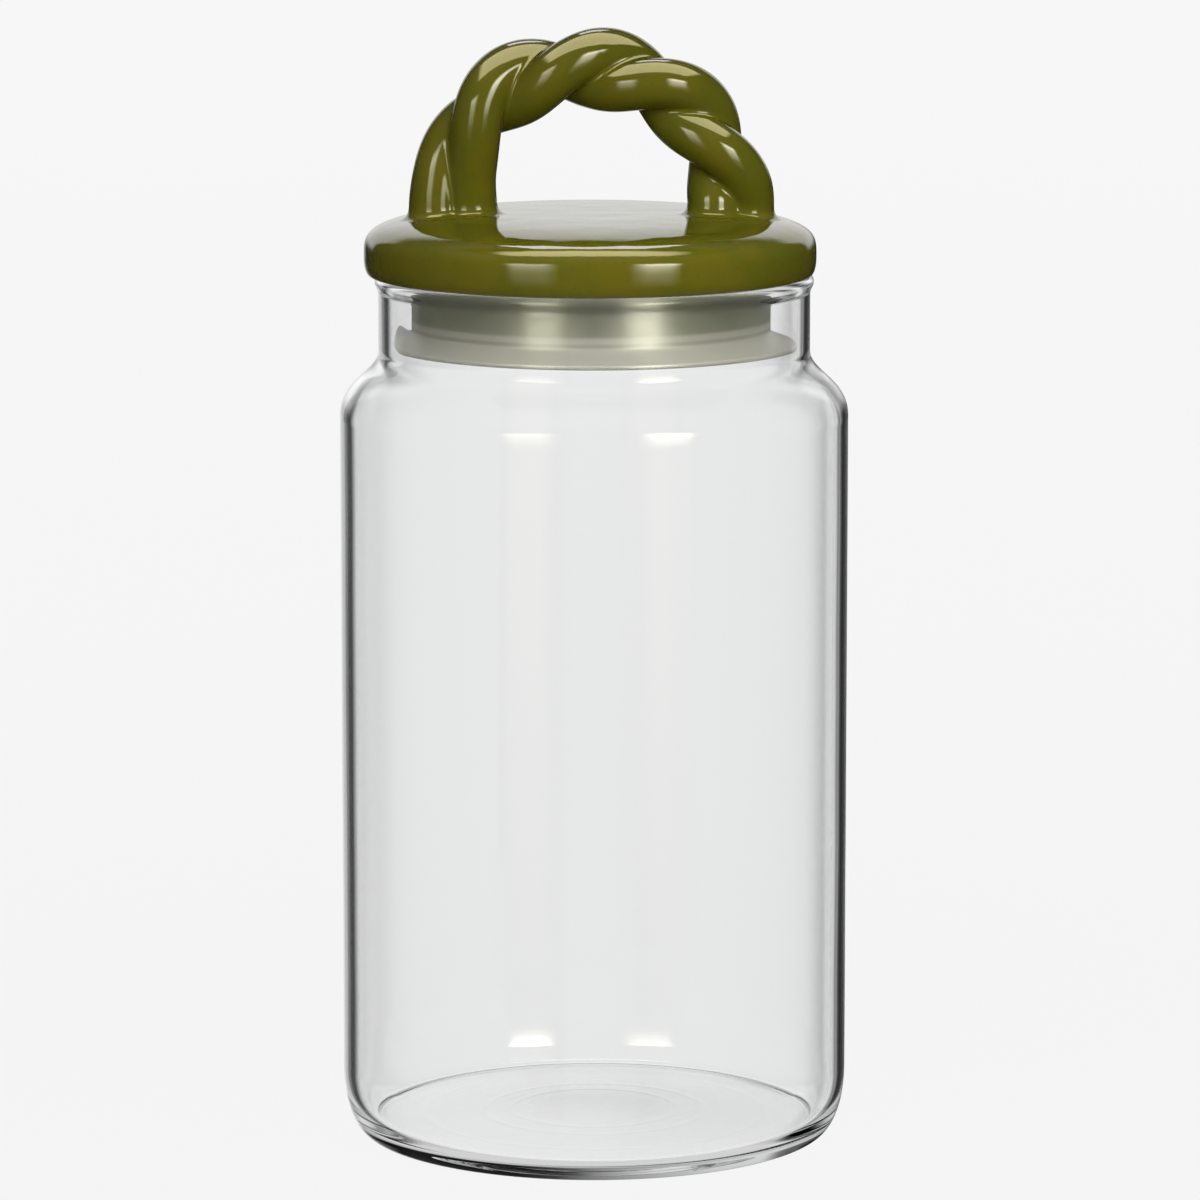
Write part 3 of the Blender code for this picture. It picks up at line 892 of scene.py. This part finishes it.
    def top_light(self) -> None:
        """A small warm panel close above the rope, for its gloss only: matt surfaces and the glass miss it."""
        half, (near, far), soft = self.top_half_width, self.top_depth, self.top_soft
        across = np.linspace(-half, half, 5)[None, :]
        along = np.linspace(near - soft, far + soft, 5)[:, None]
        grid = np.stack(np.broadcast_arrays(across, along, self.top_level), axis=-1)
        grid[..., 0] += self.top_aside
        material, g = new_material("top_light_glow")
        x, y, _ = g.node("ShaderNodeSeparateXYZ", Vector=g.place()).outputs
        aside = g.math("ABSOLUTE", g.math("SUBTRACT", x, self.top_aside))
        bell = g.math("MULTIPLY", g.ramp(aside, half - 2 * soft, half, 1.0, 0.0), g.band(y, near, far, soft))
        outside = g.math("LESS_THAN", g.path("Transmission Depth"), 0.5)
        mirrored = g.math("MULTIPLY", g.path("Is Glossy Ray"), outside)
        near_it = g.ramp(g.path("Ray Length"), self.top_reach - self.top_fade, self.top_reach, 1.0, 0.0)
        glow = g.math("MULTIPLY", bell, self.top_glow)
        strength = g.math("MULTIPLY", glow, g.math("MULTIPLY", mirrored, near_it))
        self.lamp_mesh("top_light", grid, material, g, strength, self.top_tint)

    def lamp_mesh(self, name: str, grid: np.ndarray, material: bpy.types.Material, g: Graph,
                  strength: object, tint: tuple = (1.0, 1.0, 1.0), wall_gain: object = 1.0) -> None:
        """Make a grid of points a glowing card that lights and is mirrored, but isn't seen itself.

        Args:
            name, grid, material, g: the card's name, its points, its material and that material's graph.
            strength, tint: its glow and its colour.
            wall_gain: how much it counts for when the jar's back wall mirrors it.
        """
        rows, columns = grid.shape[:2]
        i = np.arange(rows - 1)[:, None] * columns
        j = np.arange(columns - 1)[None, :]
        faces = np.stack([i + j, i + j + 1, i + columns + j + 1, i + columns + j], -1).reshape(-1, 4)
        past_four = g.math("ABSOLUTE", g.math("SUBTRACT", g.path("Transmission Depth"), 4.0))
        two_walls = g.math("LESS_THAN", past_four, 0.5)
        dimmed = g.math("MULTIPLY", g.path("Is Transmission Ray"), g.math("SUBTRACT", 1.0, two_walls))
        strength = g.math("MULTIPLY", strength, g.blend(two_walls, 1.0, wall_gain))
        sharp = g.math("MAXIMUM", g.path("Is Glossy Ray"), g.path("Is Transmission Ray"))
        strength = g.math("MULTIPLY", strength, g.blend(sharp, self.matt_share, 1.0))
        strength = g.math("MULTIPLY", strength, g.blend(dimmed, 1.0, self.box_through_glass))
        counted = g.math("LESS_THAN", g.path("Glossy Depth"), self.most_mirrorings)
        strength = g.math("MULTIPLY", strength, counted)
        glow = g.node("ShaderNodeEmission", Color=tint, Strength=strength)
        unseen = g.node("ShaderNodeBsdfTransparent", Color=(1.0, 1.0, 1.0))
        g.surface(g.shaders(g.seen_straight(), glow, unseen))
        mesh = bpy.data.meshes.new(name)
        mesh.from_pydata(grid.reshape(-1, 3).tolist(), [], faces.tolist())
        mesh.materials.append(material)
        card = bpy.data.objects.new(name, mesh)
        bpy.context.scene.collection.objects.link(card)
        card.visible_camera = card.visible_shadow = False

    def rear_strip(self) -> None:
        """A narrow softbox high behind the lid, which draws the thin pale band round its front edge."""
        turn = np.radians(np.linspace(-self.strip_turn, self.strip_turn, 7))[None, :]
        lift = np.radians(np.linspace(*self.strip_lift, 5))[:, None]
        grid = self.box_distance * np.stack(np.broadcast_arrays(
            np.sin(turn) * np.cos(lift), np.cos(turn) * np.cos(lift), np.sin(lift)), axis=-1)
        grid[..., 2] += self.lid_level
        material, g = new_material("rear_strip_glow")
        self.lamp_mesh("rear_strip", grid[:, ::-1], material, g, self.strip_glow)

    def floor(self) -> None:
        """Pale paper, seen at its own even paleness, that keeps a faint shadow and throws a little light back.

        Mirrored sight goes through it to the room, whose lower half stands for the paper's own edges.
        """
        material, g = new_material("pale_paper")
        x, y, _ = g.node("ShaderNodeSeparateXYZ", Vector=g.place()).outputs
        away = g.math("SQRT", g.math("ADD", g.math("MULTIPLY", x, x), g.math("MULTIPLY", y, y)))
        lamp_light = g.ramp(away, 0.0, self.light_reach, self.light_near, self.light_far)
        even = g.math("SUBTRACT", self.paper + self.paper_bare, g.math("MULTIPLY", lamp_light, self.paper_lit))
        straight = g.seen_straight()
        strength = g.math("ADD", g.math("MULTIPLY", straight, even),
                          g.math("MULTIPLY", g.math("SUBTRACT", 1.0, straight), self.paper_bounce))
        both = g.tree.nodes.new("ShaderNodeAddShader")
        g.put(both.inputs[0], g.node("ShaderNodeBsdfDiffuse", Color=(self.paper_lit,) * 3).outputs[0])
        g.put(both.inputs[1], g.node("ShaderNodeEmission", Strength=strength).outputs[0])
        open_room = g.node("ShaderNodeBsdfTransparent", Color=(1.0, 1.0, 1.0))
        g.surface(g.shaders(g.seen_mirrored(), both, open_room))
        mesh = bpy.data.meshes.new("paper_floor")
        size, level = self.paper_size, self.paper_level
        corners = [(-size, -size, level), (size, -size, level), (size, size, level), (-size, size, level)]
        mesh.from_pydata(corners, [], [(0, 1, 2, 3)])
        mesh.materials.append(material)
        floor = bpy.data.objects.new("paper_floor", mesh)
        bpy.context.scene.collection.objects.link(floor)

    def world(self) -> None:
        """What surrounds the set: pale paper for straight and bent sight, an even room light for matt surfaces,
        and for mirrored sight a room with a pale strip behind, a dim ceiling and dark sides.
        """
        world = bpy.data.worlds.new("studio_room")
        world.use_nodes = True
        world.cycles.sampling_method = "NONE"
        bpy.context.scene.world = world
        g = Graph(world.node_tree)
        sight = g.node("ShaderNodeTexCoord").outputs["Generated"]
        x, y, z = g.node("ShaderNodeSeparateXYZ", Vector=sight).outputs
        azimuth = g.math("MULTIPLY", g.math("ARCTAN2", x, y), TO_DEGREES)
        lift = g.math("MULTIPLY", g.math("ARCSINE", z), TO_DEGREES)
        steep = g.ramp(lift, *self.steep_lift, 1.0, 0.0)
        sides = g.ramp(x, -self.side_soft, self.side_soft, self.left_side, self.right_side)
        glass = g.math("GREATER_THAN", g.path("Transmission Depth"), 0.5)
        two_walls = g.math("COMPARE", g.path("Transmission Depth"), 4.0, 0.5)
        glass = g.math("SUBTRACT", glass, two_walls)
        wall = g.blend(glass, g.table(azimuth, self.gloss_by_turn), g.table(azimuth, self.wall_by_turn))
        high = g.blend(glass, g.ramp(lift, *self.gloss_high), g.ramp(lift, *self.glass_high))
        behind = g.ramp(y, -self.front_soft, self.front_soft)
        paper = g.blend(behind, g.blend(glass, sides, self.paper_front), wall)
        paper = g.blend(steep, paper, g.blend(glass, self.paper_dim, self.paper_near))
        wide = g.band(azimuth, -self.strip_width, self.strip_width, self.strip_soft)
        ceiling = g.math("ADD", sides, g.ramp(z, *self.ceiling_rise, 0.0, self.ceiling_light))
        ceiling = g.blend(glass, ceiling, self.room_through_glass)
        strip = g.blend(glass, self.mirrored_paper, self.paper)
        low_enough = g.ramp(z, *self.strip_top, 1.0, 0.0)
        above = g.blend(g.math("MULTIPLY", wide, low_enough), ceiling, strip)
        room = g.blend(high, paper, above)
        straight = g.seen_straight()
        mirrored = g.seen_mirrored()
        matt = g.math("SUBTRACT", g.math("SUBTRACT", 1.0, straight), mirrored)
        facing = g.math("ADD", g.math("MULTIPLY", x, self.lobe_aim[0]), g.math("MULTIPLY", y, self.lobe_aim[1]))
        facing = g.math("ADD", facing, g.math("MULTIPLY", z, self.lobe_aim[2]))
        lobe = g.ramp(facing, self.lobe_edge, 1.0, self.room_light, self.room_light + self.lobe_light)
        total = g.math("ADD", g.math("MULTIPLY", straight, self.paper), g.math("MULTIPLY", mirrored, room))
        total = g.math("ADD", total, g.math("MULTIPLY", matt, lobe))
        g.surface(g.node("ShaderNodeBackground", Strength=total), "ShaderNodeOutputWorld")

    def camera(self) -> None:
        """The camera in front, a little above the lid, looking down slightly through a long lens."""
        data = bpy.data.cameras.new("front_camera")
        data.sensor_width = 36.0
        data.lens = self.lens
        data.clip_start, data.clip_end = 0.01, 100.0
        camera = bpy.data.objects.new("front_camera", data)
        camera.location = self.camera_place
        camera.rotation_euler = (math.pi / 2 - self.camera_pitch, 0, 0)
        bpy.context.scene.collection.objects.link(camera)
        bpy.context.scene.camera = camera

    def build(self) -> None:
        """Set up the stage, the light and the camera."""
        self.floor()
        left, right = self.box_places
        self.card("left_box", left, self.box_half_width, self.left_box)
        self.card("right_box", right, self.box_half_width, self.right_box)
        self.top_light()
        self.rear_strip()
        self.world()
        self.camera()
        bpy.context.scene.view_settings.view_transform = "Standard"


def main() -> None:
    """Build the pieces in order, then the studio."""
    for part in (BlownJar(), CeramicLid(), SealRing()):
        part.build()
    Studio().build()


if __name__ == "__main__":
    main()
